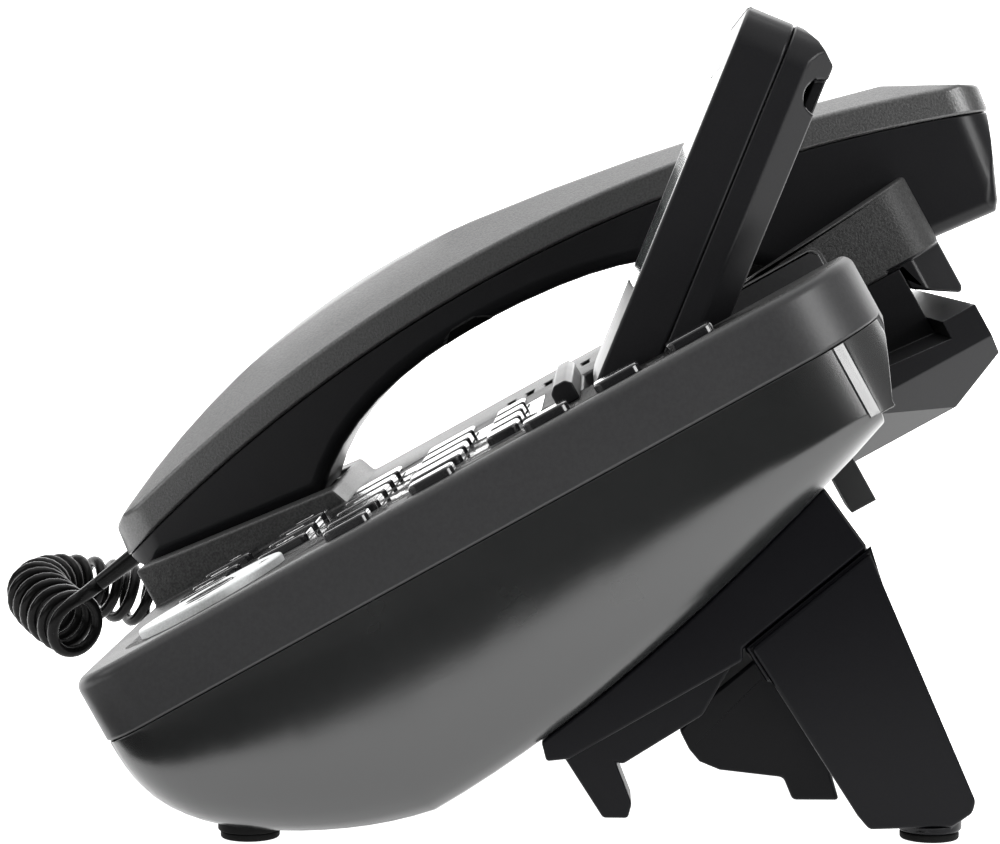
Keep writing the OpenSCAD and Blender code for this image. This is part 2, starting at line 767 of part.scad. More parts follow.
module at_display_screws()
    for (x = [-1, 1]) for (p = display_screw_at) translate([x * p.x, p.y, 0]) children();

module display_bezel() color("#1a1b1c") display_frame() {
    inner = display_w / 2 - display_wall;
    difference() {
        union() {
            difference() {
                display_shape(concat(arc([0, 0], display_r, 90, 180, 10), [[display_len, 0]],
                    arc([display_len - bezel_r, display_r - bezel_r], bezel_r, 0, 90, 3)));
                box([-inner, solid_end, -1], [inner, display_len - solid_top, display_r - display_wall]);
                rod_x(-display_w, display_w, pin_d / 2 + 2.4);
                window_box(seat_gap, display_r - window_t - seat_gap, display_r + 1);
                window_box(-window_ledge, 0, display_r);
            }
            at_display_screws() rod_z(seat_gap, display_r - 1, 3.2);
        }
        at_display_screws() rod_z(-1, 6, screw_r + 0.04);
    }
}

module window_box(grow, z0, z1) {
    w = window_w / 2 + grow;
    l = window_l / 2 + grow;
    box([-w, window_y - l, z0], [w, window_y + l, z1]);
}

function back_side() = concat(arc([0, 0], display_r, 180, 270, 10), [[display_len - 4.9, -display_r],
    [display_len - 1.5, -5.4], [display_len, -1.6], [display_len, -seat_gap], [0, -seat_gap]]);

module display_back() color("#1a1b1c") display_frame() {
    inner = display_w / 2 - display_wall;
    difference() {
        union() {
            difference() {
                union() {
                    display_shape(back_side());
                    both_sides() rod_x(display_w / 2 - 12, display_w / 2, pin_d / 2 + 2);
                }
                box([-inner, solid_end, display_wall - display_r], [inner, display_len - solid_top, 1]);
            }
            at_display_screws() rod_z(1 - display_r, -seat_gap, 4);
        }
        both_sides() {
            translate([display_w / 2, 0, 0]) along_y(-20, 100) polygon([[1, -3.5], [1, -12], [-5.7, -12]]);
            translate([0, display_len - 11.4, -display_r]) rod_x(display_w / 2 - 8, display_w, 3.5);
            rod_x(display_w / 2 - pin_in, display_w, pin_d / 2 + 0.02);
        }
        at_display_screws() {
            rod_z(-20, 1, screw_r + 0.3);
            rod_z(-20, -4, head_r + 0.3);
        }
    }
}

module display_window() color("#8fa3ad") display_frame() window_box(0, display_r - window_t, display_r);

module lcd_module() color("#7d8b80") display_frame()
    box([-lcd_w / 2, window_y - lcd_l / 2, display_r - display_wall - lcd_t],
        [lcd_w / 2, window_y + lcd_l / 2, display_r - display_wall]);

module hinge_pins() color("#a4a7aa") display_frame()
    both_sides() rod_x(display_w / 2 - pin_in, display_w / 2 + display_gap + pin_out, pin_d / 2);

module display_screws() color("#8f9295") display_frame()
    at_display_screws() screw(-4, 5, head_r, screw_r, head_t);

// Ring about the handset's arc axis, its outline given as radius and x
module hand_ring(points)
    translate([0, shell_a, shell_b]) rotate([0, 90, 0]) rotate_extrude($fn = 180) polygon(points);

module hand_plan(i) translate([0, 0, -40]) linear_extrude(120)
    polygon(round_rect([i - hand_half, hand_start + i], [hand_half - i, hand_end - i], hand_corner - i));

// Height of the roof inside the handset at a
function roof_b(a) = shell_b + sqrt(pow(shell_r + ridge_h - shell_t, 2) - pow(a - shell_a, 2));

// Side outline of the handset's crown: two arcs that meet at its peak, then a slope to the ear end
function crown_side() = concat(
    arc([crown_a, crown_b - crown_front_r], crown_front_r, 127, 90, 12),
    arc([crown_a, crown_b - crown_rear_r], crown_rear_r, 90,
        90 - asin((crown_end - crown_a) / crown_rear_r), 5),
    [[hand_end + 1, 28], [hand_end + 1, -20], [-20, -20]]);

module handset_top() color("#38393b") handset_frame() {
    w = hand_half;
    t = shell_t;
    ridge = shell_r + ridge_h;
    difference() {
        union() {
            difference() {
                intersection() {
                    hand_ring([[shell_r, -w], [ridge, -w], [ridge + 2.8, 5 - w], [ridge + 7.5, 13 - w],
                        [ridge + 9, 20 - w], [ridge + 9, w - 20], [ridge + 7.5, w - 13], [ridge + 2.8, w - 5],
                        [ridge, w], [shell_r, w]]);
                    along_x(-w, w) polygon(crown_side());
                    hand_plan(0);
                }
                intersection() {
                    hand_ring([[shell_r - 1, t - w], [ridge - t, t - w], [ridge - t, w - t],
                        [shell_r - 1, w - t]]);
                    hand_plan(t);
                }
            }
            for (s = hand_screws) translate([0, s[0], 0]) rod_z(s[1] - hand_boss_gap, s[1] - 1, post_r);
        }
        for (s = hand_screws) translate([0, s[0], 0]) rod_z(0, s[1] - 3, screw_r + 0.04);
        neck_slot(neck_b[1] + 0.2);
    }
}

function under_side() = concat(bezier(mouth_arch, 10),
    [for (i = [1:10]) bezier_at(ear_arch, i / 10)],
    [[hand_end - 7.5, 0.5], [hand_end - 6.2, 2.7], [hand_end - 0.6, 22], [hand_end - 0.6, 60],
    [hand_start + 0.8, 60], [hand_start + 0.8, 3], [hand_start + 3.6, 0]]);
function under_hollow() = concat([[hand_start + 5.2, shell_t]], bezier(mouth_hollow, 10),
    [for (i = [1:10]) bezier_at(ear_hollow, i / 10)],
    [[hand_end - 9.9, shell_t], [hand_end - 8.1, 5], [hand_end - 3.7, 22], [hand_end - 3.7, 60],
    [hand_start + 5.2, 60]]);

// An outline drawn in by d
function side_normal(a, b) = let(e = unit(b - a)) [-e.y, e.x];
function drawn_in(points, d) = let(n = len(points)) [for (i = [0:n - 1])
    let(p = points[i], a = side_normal(points[(i + n - 1) % n], p), b = side_normal(p, points[(i + 1) % n]))
    p + d * (a + b) / (1 + a * b)];

// Block of the handset's underside with its long edges rounded
module under_block(w, r, n = 4) {
    outline = under_side();
    count = len(outline);
    quarter = [for (i = [0:n]) [w - r + r * cos(90 * i / n), r * (1 - sin(90 * i / n))]];
    rounds = concat(quarter, [for (q = reversed(quarter)) [-q.x, q.y]]);
    polyhedron([for (q = rounds) for (p = drawn_in(outline, q.y)) [q.x, p.x, p.y]],
        concat(tube_walls(len(rounds), count), [[for (j = [count - 1:-1:0]) j],
        [for (j = [0:count - 1]) j + (len(rounds) - 1) * count]]));
}

// Tongue of the lower shell that covers the joint from inside
module hand_tongue() {
    out = hand_half - shell_t - slide_gap;
    low = shell_r - tongue_low;
    high = shell_r + tongue_rise;
    intersection() {
        both_sides() hand_ring([[low, out - tongue_w], [high, out - tongue_w], [high, out], [low, out]]);
        hand_plan(shell_t + slide_gap);
    }
}

module handset_bottom() color("#1b1c1e") handset_frame() {
    hand_shell();
    hand_tongue();
}

module hand_shell() difference() {
    w = hand_half - side_step;
    union() {
        difference() {
            under_block(w, hand_fillet);
            intersection() {
                along_x(shell_t - w, w - shell_t) polygon(under_hollow());
                hand_plan(shell_t + side_step);
            }
        }
        for (s = hand_screws) translate([0, s[0], 0]) rod_z(1, s[1] - hand_boss_gap - seat_gap, boss_r);
    }
    difference() {
        box([-far, -far, -far], [far, far, far]);
        hand_plan(side_step);
    }
    hand_ring([[shell_r - seat_gap, -far], [far, -far], [far, far], [shell_r - seat_gap, far]]);
    for (s = hand_screws) translate([0, s[0], 0]) {
        rod_z(-5, 60, screw_r + 0.3);
        rod_z(-5, s[1] - hand_boss_gap - 3, head_r + 0.3);
    }
    for (i = [-2:2]) translate([5 * i, ear_a, 0]) rod_z(-5, 5, 1);
    for (i = [-1:1]) translate([4 * i, mic_a, 0]) rod_z(-5, 5, 0.8);
    neck_slot(20);
}

// Way out for the plug's neck, up to b
module neck_slot(b) box([-neck_w / 2 - 0.2, hand_start - 2, neck_b[0] - 0.2],
    [neck_w / 2 + 0.2, plug_start, b]);

module earpiece() color("#2c2d30") handset_frame() translate([0, ear_a, shell_t + seat_gap]) {
    rod_z(0, ear_h / 2, ear_r);
    rod_z(ear_h / 2 - 0.1, ear_h, ear_r * 0.7);
}

module microphone() color("#9a9c9e") handset_frame()
    translate([0, mic_a, shell_t + seat_gap]) rod_z(0, mic_h, mic_r);

module handset_weight() color("#77797c") handset_frame()
    translate([-weight_size.x / 2, grip_a - weight_size.y / 2, grip_floor + seat_gap]) cube(weight_size);

module handset_screws() color("#8f9295") handset_frame()
    for (s = hand_screws) translate([0, s[0], 0])
        screw(s[1] - hand_boss_gap - 3, s[1] - 5, head_r, screw_r, head_t);

module handset_socket() color("#17181a") handset_frame() difference() {
    box([-plug_w / 2 - 1.4, plug_start + 0.1, shell_t + seat_gap],
        [plug_w / 2 + 1.4, plug_end + 2, plug_b[1] + 1]);
    box([-plug_w / 2 - 0.2, -10, plug_b[0] - 0.1], [plug_w / 2 + 0.2, plug_end + 0.3, far]);
}

// Plug with a tapered boot that points along +Z from its origin
module boot() cylinder(h = boot_l, r1 = boot_r[0], r2 = boot_r[1]);

module handset_plug() color("#111214") {
    handset_frame() {
        box([-plug_w / 2, plug_start + 0.2, plug_b[0]], [plug_w / 2, plug_end, plug_b[1]]);
        box([-neck_w / 2, hand_start - 1.6, neck_b[0]], [neck_w / 2, plug_start + 1, neck_b[1]]);
    }
    translate(boot_start) rotate([90 + boot_fall, 0, 0]) boot();
}

module base_plug() color("#111214") {
    deck() box([5 - half, jack_u - plug_w / 2, jack_v - 2.9], [15 - half, jack_u + plug_w / 2, jack_v + 2.9]);
    translate(jack_point + [5.5, 0, 0]) rotate([0, -90, 0]) boot();
}

// Where the boots sit and end
boot_fall = deck_tilt - handset_lean + boot_droop;
boot_uv = [(hand_start - 1) * cos(handset_lean) + 2.5 * sin(handset_lean),
    handset_v - (hand_start - 1) * sin(handset_lean) + 2.5 * cos(handset_lean)];
boot_start = concat([handset_x], world(boot_uv.x, boot_uv.y));
boot_way = [0, -cos(boot_fall), -sin(boot_fall)];
jack_point = concat([-half], world(jack_u, jack_v));
cord_start = boot_start + boot_l * boot_way;
cord_end = jack_point + [5.5 - boot_l, 0, 0];

// Axis of the coil: a smooth curve through the route, walked by its length
function route_at(t) = let(n = len(route) - 1, i = min(floor(t), n - 1), s = t - i,
    a = route[max(i - 1, 0)], b = route[i], c = route[i + 1], d = route[min(i + 2, n)])
    0.5 * (2 * b + (c - a) * s + (2 * a - 5 * b + 4 * c - d) * s * s + (3 * b - a - 3 * c + d) * s * s * s);
walk_steps = 10 * (len(route) - 1);
walk = [for (i = [0:walk_steps]) route_at(i / 10)];
function step_len(i) = i < walk_steps ? norm(walk[i + 1] - walk[i]) : 0;
walk_lengths = [for (i = 0, s = 0; i <= walk_steps; s = s + step_len(i), i = i + 1) s];
route_len = walk_lengths[walk_steps];
turns = floor(route_len / curl_pitch);
walk_table = [for (i = [0:walk_steps]) [walk_lengths[i], i / 10]];
function axis_at(s) = route_at(lookup(s, walk_table));
function axis_way(s) = unit(axis_at(min(s + 0.5, route_len)) - axis_at(max(s - 0.5, 0)));
function curl_at(i) = let(s = route_len * i / (curl_steps * turns), way = axis_way(s),
    side = unit(cross(way, [0, 0, 1])), up = cross(side, way), a = start_phase + 360 * i / curl_steps)
    axis_at(s) + coil_r * (cos(a) * side + sin(a) * up);
curl_count = curl_steps * turns;
curls = [for (i = [0:curl_count]) curl_at(i)];

// Straight ends and the tails that join them to the first and last curl
tail_in = cord_start + cord_d * boot_way;
tail_out = cord_end - [cord_d, 0, 0];
first_way = unit(curls[1] - curls[0]);
last_way = unit(curls[curl_count] - curls[curl_count - 1]);
in_tail = bezier([tail_in, tail_in + 4 * boot_way, curls[0] - 3 * first_way, curls[0]], 4);
last_curl = curls[curl_count];
out_tail = bezier([last_curl, last_curl + 22 * last_way, tail_out - [18, 0, 0], tail_out], tail_steps);
cord_line = concat([cord_start], in_tail, [for (i = [1:curl_count - 1]) curls[i]], out_tail, [cord_end]);
cord_count = len(cord_line);
function line_way(i) = i == 0 ? boot_way : (i == cord_count - 1 ? [1, 0, 0]
    : unit(cord_line[i + 1] - cord_line[i - 1]));
function square_to(p, way) = unit(p - (p * way) * way);
cord_sides_x = [for (i = 0, p = square_to([1, 0, 0], line_way(0)); i < cord_count;
    i = i + 1, p = i < cord_count ? square_to(p, line_way(i)) : p) p];
cord_rings = [for (i = [0:cord_count - 1]) let(x = cord_sides_x[i], y = cross(line_way(i), x))
    [for (j = [0:cord_sides - 1]) let(a = 360 * j / cord_sides)
        cord_line[i] + cord_d / 2 * (cos(a) * x + sin(a) * y)]];
curl_gap = min([for (i = [0:curl_count - 6]) for (j = [i + 6:min(i + 12, curl_count)])
    norm(curls[i] - curls[j])]);
in_gap = min([for (p = in_tail) for (i = [6:24]) norm(p - curls[i])]);
out_gap = min([for (p = out_tail) for (i = [6:24]) norm(p - curls[curl_count - i])]);
cord_gap = min(curl_gap, in_gap, out_gap) - cord_d;
echo(cord_gap = cord_gap, turns = turns);

module curly_cord() color("#141516")
    polyhedron([for (r = cord_rings) each r], tube_faces(cord_count, cord_sides));

module key(k) color("#202124") deck() translate([k[1], k[2], 0]) {
    w = [k[3], k[4]] / 2;
    f = [k[5], flange_w];
    translate([0, 0, flange_top]) linear_extrude(key_rise - flange_top)
        polygon(round_rect(-w, w, key_edge_r, 3));
    box(concat(-w - f, flange_top - flange_t), concat(w + f, flange_top));
}

module nav_ring() color("#b9bcc0") deck() translate([nav_x, nav_u, 0]) difference() {
    union() {
        rod_z(flange_top - nav_drop, key_rise, nav_d / 2);
        rod_z(flange_top - nav_drop, flange_top - nav_drop + 0.6, nav_d / 2 + 1.4);
    }
    rod_z(-20, 20, nav_bore_r);
}

module nav_centre() color("#2a2b2e") deck() translate([nav_x, nav_u, 0])
    rod_z(flange_top - flange_t, key_rise + 0.2, nav_hub_r);

upper_housing();
lower_housing();
key_panel();
hinge_cover();
main_board();
key_mat();
base_speaker();
line_jacks();
base_jack();
case_screws();
front_feet();
stand_bracket();
hook_plunger();
hook_switch();
display_bezel();
display_back();
display_window();
lcd_module();
hinge_pins();
display_screws();
handset_top();
handset_bottom();
earpiece();
microphone();
handset_weight();
handset_screws();
handset_socket();
handset_plug();
base_plug();
curly_cord();
stand();
stand_feet();
nav_ring();
nav_centre();
for (k = keys) key(k);
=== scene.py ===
"""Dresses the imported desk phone: camera, light, cord, materials and the fine pieces. Metres."""

import math

import bmesh
import bpy
from mathutils import Matrix, Vector


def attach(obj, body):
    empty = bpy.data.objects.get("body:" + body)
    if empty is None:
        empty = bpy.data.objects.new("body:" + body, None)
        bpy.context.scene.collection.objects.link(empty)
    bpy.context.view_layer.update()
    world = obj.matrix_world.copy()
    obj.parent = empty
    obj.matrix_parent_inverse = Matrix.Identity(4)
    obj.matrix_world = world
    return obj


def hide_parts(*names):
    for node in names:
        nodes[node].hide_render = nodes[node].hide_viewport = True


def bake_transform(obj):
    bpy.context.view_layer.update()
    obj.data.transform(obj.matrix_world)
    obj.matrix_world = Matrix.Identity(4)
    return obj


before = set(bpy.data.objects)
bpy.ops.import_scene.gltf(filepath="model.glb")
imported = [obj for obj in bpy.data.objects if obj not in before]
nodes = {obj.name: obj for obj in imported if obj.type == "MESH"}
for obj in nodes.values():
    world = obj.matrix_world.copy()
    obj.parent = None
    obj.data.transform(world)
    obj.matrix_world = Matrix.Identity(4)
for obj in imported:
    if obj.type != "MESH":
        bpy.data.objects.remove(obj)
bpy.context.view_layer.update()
MM = 0.001

# Slopes in degrees, as the part's source has them
DECK_TILT = 29
DISPLAY_OPEN = 39
HANDSET_LEAN = 6.3
BOOT_DROOP = 15


def leaning(place, degrees):
    """A frame at place that is turned about X."""
    return Matrix.Translation(place) @ Matrix.Rotation(math.radians(degrees), 4, "X")


# Frames of the part, as its source has them
DECK = leaning((0, -0.0886, 0.0332653), DECK_TILT)
DISPLAY = DECK @ leaning((0.0365, 0.1202, -0.0058), DISPLAY_OPEN)
HANDSET = DECK @ leaning((-0.049, 0, 0.0086), -HANDSET_LEAN)

# Camera, fitted to the photograph's side view
SENSOR = 36
LENS = 105.97
CAMERA_PLACE = (0.6445, 0.0088, 0.1227)
CAMERA_TARGET = (0.095, -0.008, 0.08298)


# Camera and light
def look_at(obj, target):
    way = Vector(target) - obj.location
    obj.rotation_euler = way.to_track_quat("-Z", "Y").to_euler()


def make_camera():
    data = bpy.data.cameras.new("camera")
    data.sensor_width = SENSOR
    data.lens = LENS
    obj = bpy.data.objects.new("camera", data)
    bpy.context.collection.objects.link(obj)
    obj.location = CAMERA_PLACE
    look_at(obj, CAMERA_TARGET)
    bpy.context.scene.camera = obj


def softbox(name, place, target, size, power):
    data = bpy.data.lights.new(name, "AREA")
    data.shape = "RECTANGLE"
    data.size = size[0]
    data.size_y = size[1]
    data.energy = power
    obj = bpy.data.objects.new(name, data)
    bpy.context.collection.objects.link(obj)
    obj.location = place
    look_at(obj, target)


def make_light():
    """A dome that is bright overhead and dim at the horizon, and three softboxes."""
    scene = bpy.context.scene
    scene.view_settings.view_transform = "Standard"
    world = bpy.data.worlds.new("studio")
    scene.world = world
    world.use_nodes = True
    tree = world.node_tree
    background = tree.nodes["Background"]
    background.inputs["Color"].default_value = (1, 1, 1, 1)
    place = tree.nodes.new("ShaderNodeTexCoord")
    split = tree.nodes.new("ShaderNodeSeparateXYZ")
    tree.links.new(place.outputs["Generated"], split.inputs["Vector"])
    dome = ramp(tree, split.outputs["Z"], 0.05, 0.8, 0.05, 0.9)
    tree.links.new(dome, background.inputs["Strength"])
    softbox("light_top", (-0.1, -0.1, 1.0), (0, 0, 0.1), (0.9, 0.9), 5)
    softbox("light_front", (0.5, -1.2, 0.7), (0, 0, 0.08), (0.6, 0.5), 3)
    softbox("light_rear", (0.72, 0.76, 0.43), (0.08, 0.06, 0.11), (0.4, 0.4), 6)


# The floor has a dark opening beside the phone, for the belly to mirror: a wedge between a line
# along X at FLOOR_FRONT and a line at 45 degrees that crosses the X axis at FLOOR_EDGE
FLOOR_EDGE = 0.19
FLOOR_FRONT = -0.145


def make_floor():
    """A pale sweep: a floor with an opening on the camera's side, a wide bend and a wall."""
    wide = 3.0
    bend = 0.8
    rear = -1.2
    turns = [math.radians(15 * i) for i in range(7)]
    rows = [(rear - bend * math.sin(a), bend * (1 - math.cos(a))) for a in turns]
    rows.append((rear - bend, wide))
    points = [(x, y, z) for x, z in rows for y in (-wide, wide)]
    faces = [(2 * i, 2 * i + 2, 2 * i + 3, 2 * i + 1) for i in range(len(rows) - 1)]
    n = len(points)
    points += [(FLOOR_EDGE + FLOOR_FRONT, FLOOR_FRONT, 0), (FLOOR_EDGE + wide, wide, 0)]
    points += [(wide, -wide, 0), (wide, FLOOR_FRONT, 0)]
    faces += [(n, n + 1, 1, 0), (n, 0, n + 2, n + 3)]
    mesh = bpy.data.meshes.new("floor")
    mesh.from_pydata(points, [], faces)
    mesh.polygons.foreach_set("use_smooth", [True] * len(faces))
    obj = bpy.data.objects.new("floor", mesh)
    bpy.context.collection.objects.link(obj)
    mat = bpy.data.materials.new("floor")
    mat.use_nodes = True
    tree = mat.node_tree
    shader = tree.nodes["Principled BSDF"]
    shader.inputs["Base Color"].default_value = (0.6, 0.6, 0.6, 1)
    shader.inputs["Roughness"].default_value = 0.6
    shader.inputs["Emission Color"].default_value = (1, 1, 1, 1)
    place = tree.nodes.new("ShaderNodeTexCoord")
    split = tree.nodes.new("ShaderNodeSeparateXYZ")
    tree.links.new(place.outputs["Object"], split.inputs["Vector"])
    glow = ramp(tree, split.outputs["X"], -0.4, -1.3, 1.2, 2.2)
    tree.links.new(glow, shader.inputs["Emission Strength"])
    obj.data.materials.append(mat)


# Materials
def add(tree, kind, **inputs):
    node = tree.nodes.new(kind)
    for name, value in inputs.items():
        node.inputs[name.replace("_", " ")].default_value = value
    return node


def ramp(tree, source, start, end, low=0.0, high=1.0):
    """Takes source from start to end and gives low to high."""
    node = add(tree, "ShaderNodeMapRange", From_Min=start, From_Max=end, To_Min=low, To_Max=high)
    tree.links.new(source, node.inputs["Value"])
    return node.outputs["Result"]


def between(tree, factor, b):
    """A colour mix that ends at b; its first colour is left to set or link."""
    node = tree.nodes.new("ShaderNodeMix")
    node.data_type = "RGBA"
    node.inputs["B"].default_value = (*b, 1)
    tree.links.new(factor, node.inputs["Factor"])
    return node


def scaled(colour, k):
    return [min(1, k * c) for c in colour]


def plastic(name, colour, rough, grain=1500, depth=0.1, spread=0.08, edge=0.5, speck=0.1, **extra):
    """Moulded surface: fine grain in bump and colour, cloudy roughness, paler worn edges."""
    mat = bpy.data.materials.new(name)
    mat.use_nodes = True
    tree = mat.node_tree
    shader = tree.nodes["Principled BSDF"]
    for key, value in extra.items():
        shader.inputs[key.replace("_", " ")].default_value = value
    place = tree.nodes.new("ShaderNodeTexCoord")
    fine = add(tree, "ShaderNodeTexNoise", Scale=grain, Detail=3.0, Roughness=0.6)
    cloud = add(tree, "ShaderNodeTexNoise", Scale=45.0, Detail=4.0, Roughness=0.55)
    for noise in (fine, cloud):
        tree.links.new(place.outputs["Object"], noise.inputs["Vector"])
    bump = add(tree, "ShaderNodeBump", Strength=depth, Distance=0.0002)
    tree.links.new(fine.outputs["Fac"], bump.inputs["Height"])
    tree.links.new(bump.outputs["Normal"], shader.inputs["Normal"])
    cloudy = ramp(tree, cloud.outputs["Fac"], 0, 1, max(0.02, rough - spread), min(1.0, rough + spread))
    tree.links.new(cloudy, shader.inputs["Roughness"])
    tone = between(tree, ramp(tree, fine.outputs["Fac"], 0.35, 0.65), scaled(colour, 1 + speck))
    tone.inputs["A"].default_value = (*scaled(colour, 1 - speck), 1)
    geometry = tree.nodes.new("ShaderNodeNewGeometry")
    worn = between(tree, ramp(tree, geometry.outputs["Pointiness"], 0.53, 0.62),
                   [min(1, (1 + edge) * c + 0.02 * edge) for c in colour])
    tree.links.new(tone.outputs["Result"], worn.inputs["A"])
    tree.links.new(worn.outputs["Result"], shader.inputs["Base Color"])
    return mat


def make_materials():
    return {
        "casing": plastic("casing", (0.03, 0.03, 0.03), 0.45, 2200, 0.6, 0.08, 0.1, 0.5,
                          Specular_IOR_Level=0.35),
        "band": plastic("band", (0.028, 0.028, 0.029), 0.38, 1300, 0.1, 0.06, 0.1,
                        Specular_IOR_Level=0.4),
        "belly": plastic("belly", (0.006, 0.0065, 0.0065), 0.26, 1700, 0.05, 0.05, 0.1,
                         Specular_IOR_Level=1.0),
        "charcoal": plastic("charcoal", (0.04, 0.04, 0.04), 0.34, 2000, 0.4, 0.08, 0.1, 0.5,
                            Specular_IOR_Level=1.0),
        "smooth": plastic("smooth", (0.01, 0.01, 0.011), 0.3, 2200, 0.05, 0.05, 0.0,
                          Specular_IOR_Level=0.22),
        "stand": plastic("stand", (0.004, 0.004, 0.005), 0.3, 2200, 0.05, 0.05, 0.0,
                         Specular_IOR_Level=0.12),
        "gloss": plastic("gloss", (0.006, 0.006, 0.007), 0.1, 2500, 0.02, 0.04, 0.3, Coat_Weight=0.5),
        "key": plastic("key", (0.012, 0.012, 0.013), 0.16, 2200, 0.04, 0.05, 0.4, Coat_Weight=0.3),
        "silver": plastic("silver", (0.52, 0.53, 0.53), 0.5, 2400, 0.05, 0.06, 0.1, Metallic=0.4),
        "cord": plastic("cord", (0.003, 0.003, 0.003), 0.24, 2200, 0.05, 0.05, 0.0,
                        Specular_IOR_Level=0.1),
        "rubber": plastic("rubber", (0.004, 0.004, 0.004), 0.7, 1200, 0.35, 0.08, 0.0,
                          Specular_IOR_Level=0.1),
        "steel": plastic("steel", (0.45, 0.45, 0.46), 0.32, 2600, 0.08, 0.08, 0.1, Metallic=1.0),
        "brass": plastic("brass", (0.78, 0.58, 0.24), 0.25, 2600, 0.05, 0.06, 0.1, Metallic=1.0),
        "board": plastic("board", (0.018, 0.09, 0.04), 0.4, 700, 0.12, 0.08, 0.2),
        "mat": plastic("mat", (0.16, 0.17, 0.18), 0.7, 1400, 0.2),
        "ivory": plastic("ivory", (0.62, 0.62, 0.58), 0.4, 2000, 0.05),
        "print": plastic("print", (0.8, 0.8, 0.8), 0.45, 2600, 0.05, 0.05, 0.0),
        "screen": plastic("screen", (0.2, 0.24, 0.2), 0.35, 3000, 0.03, 0.05, 0.0),
        "window": plastic("window", (0.85, 0.9, 0.9), 0.06, 2600, 0.01, 0.03, 0.0,
                          Transmission_Weight=0.92, IOR=1.49),
    }


NODE_FINISH = {
    "casing": ["upper_housing"],
    "belly": ["lower_housing"],
    "charcoal": ["handset_top"],
    "smooth": ["handset_bottom", "display_bezel", "display_back", "hinge_cover",
               "line_jacks", "base_jack", "handset_socket", "hook_switch"],
    "stand": ["stand", "stand_bracket"],
    "gloss": ["key_panel"],
    "silver": ["nav_ring"],
    "cord": ["handset_plug", "base_plug", "curly_cord"],
    "rubber": ["front_feet", "stand_feet"],
    "steel": ["case_screws", "display_screws", "handset_screws", "hinge_pins",
              "handset_weight", "microphone"],
    "board": ["main_board"],
    "mat": ["key_mat", "base_speaker", "earpiece"],
    "ivory": ["hook_plunger"],
    "screen": ["lcd_module"],
    "window": ["display_window"],
}


# Widths of the softened edges, in millimetres
EDGE_WIDTH = {
    "upper_housing": 0.7, "lower_housing": 0.25, "handset_top": 0.8, "handset_bottom": 0.4,
    "display_bezel": 0.7, "display_back": 0.5, "stand": 0.8, "stand_bracket": 0.6, "hinge_cover": 0.4,
    "front_feet": 0.5, "stand_feet": 0.5, "key_panel": 0.12, "nav_ring": 0.6, "nav_centre": 0.4,
    "handset_plug": 0.3, "base_plug": 0.3, "hook_plunger": 0.5, "display_window": 0.15,
}
KEY_EDGE = 0.55
RIM_EDGE = 2.4
OTHER_EDGE = 0.2

# Points of a node that are nearer than this are joined before softening, in millimetres
JOIN = {"lower_housing": 0.3}
OTHER_JOIN = 0.1
SHARP = math.radians(28)
FLAT = math.radians(0.4)


def add_bevel(obj, width, segments):
    bevel = obj.modifiers.new("bevel", "BEVEL")
    bevel.width = width * MM
    bevel.segments = segments
    bevel.limit_method = "ANGLE"
    bevel.angle_limit = SHARP
    bevel.harden_normals = True
    bevel.use_clamp_overlap = False
    return bevel


def soften(obj, width):
    """Rounds the sharp edges of a node, its marked rim more widely, and smooths its curved faces."""
    obj.data.polygons.foreach_set("use_smooth", [True] * len(obj.data.polygons))
    weld = obj.modifiers.new("weld", "WELD")
    weld.merge_threshold = JOIN.get(obj.name, OTHER_JOIN) * MM
    flat = obj.modifiers.new("flat", "DECIMATE")
    flat.decimate_type = "DISSOLVE"
    flat.delimit = {"MATERIAL"}
    flat.angle_limit = FLAT
    for group in obj.vertex_groups:
        rim = add_bevel(obj, RIM_EDGE, 5)
        rim.limit_method = "VGROUP"
        rim.vertex_group = group.name
    add_bevel(obj, width, 3)
    normals = obj.modifiers.new("normals", "WEIGHTED_NORMAL")
    normals.keep_sharp = True


def dress_nodes(mats):
    finish = {node: name for name, group in NODE_FINISH.items() for node in group}
    for name, obj in nodes.items():
        is_key = "key_" in name and name not in ("key_panel", "key_mat")
        obj.data.materials.clear()
        obj.data.materials.append(mats[finish.get(name, "key")])
        width = KEY_EDGE if is_key else EDGE_WIDTH.get(name, OTHER_EDGE)
        soften(obj, width)


# Corners of the casing's plan in the deck frame: centre and radius, in millimetres
FRONT_CORNER = ((85, 8), 10)
REAR_CORNER = ((75, 148), 20)


def mark_rim():
    """Marks the casing's top rim at its front, key side and rear corner."""
    obj = nodes["upper_housing"]
    group = obj.vertex_groups.new(name="rim")
    (front_x, front_u), front_r = FRONT_CORNER
    (rear_x, rear_u), rear_r = REAR_CORNER
    for vertex in obj.data.vertices:
        x, u, v = (DECK.inverted() @ vertex.co) / MM
        front = math.hypot(max(0, x - front_x), max(0, front_u - u)) - front_r
        rear = math.hypot(max(0, x - rear_x), max(0, u - rear_u)) - rear_r
        if abs(v) < 0.06 and x > -front_x - 1 and max(front, rear) > -0.1:
            group.add([vertex.index], 1.0, "REPLACE")


# Where the smooth lip behind the cradle starts, its height, and the cradle's key side
LIP_START = 0.179
LIP_TOP = -0.0127
CRADLE_X = -0.008


def paint_casing(mats):
    """The casing is grained on top and in the cradle, plainer at the side, smooth on the rear lip."""
    mesh = nodes["upper_housing"].data
    mesh.materials.append(mats["band"])
    mesh.materials.append(mats["smooth"])
    to_deck = DECK.inverted()
    for face in mesh.polygons:
        place = to_deck @ face.center
        normal = to_deck.to_3x3() @ face.normal
        if place.y > LIP_START and place.z < LIP_TOP:
            face.material_index = 2
        elif abs(normal.z) < 0.4 and (place.x > CRADLE_X + MM or normal.y < -0.9):
            face.material_index = 1


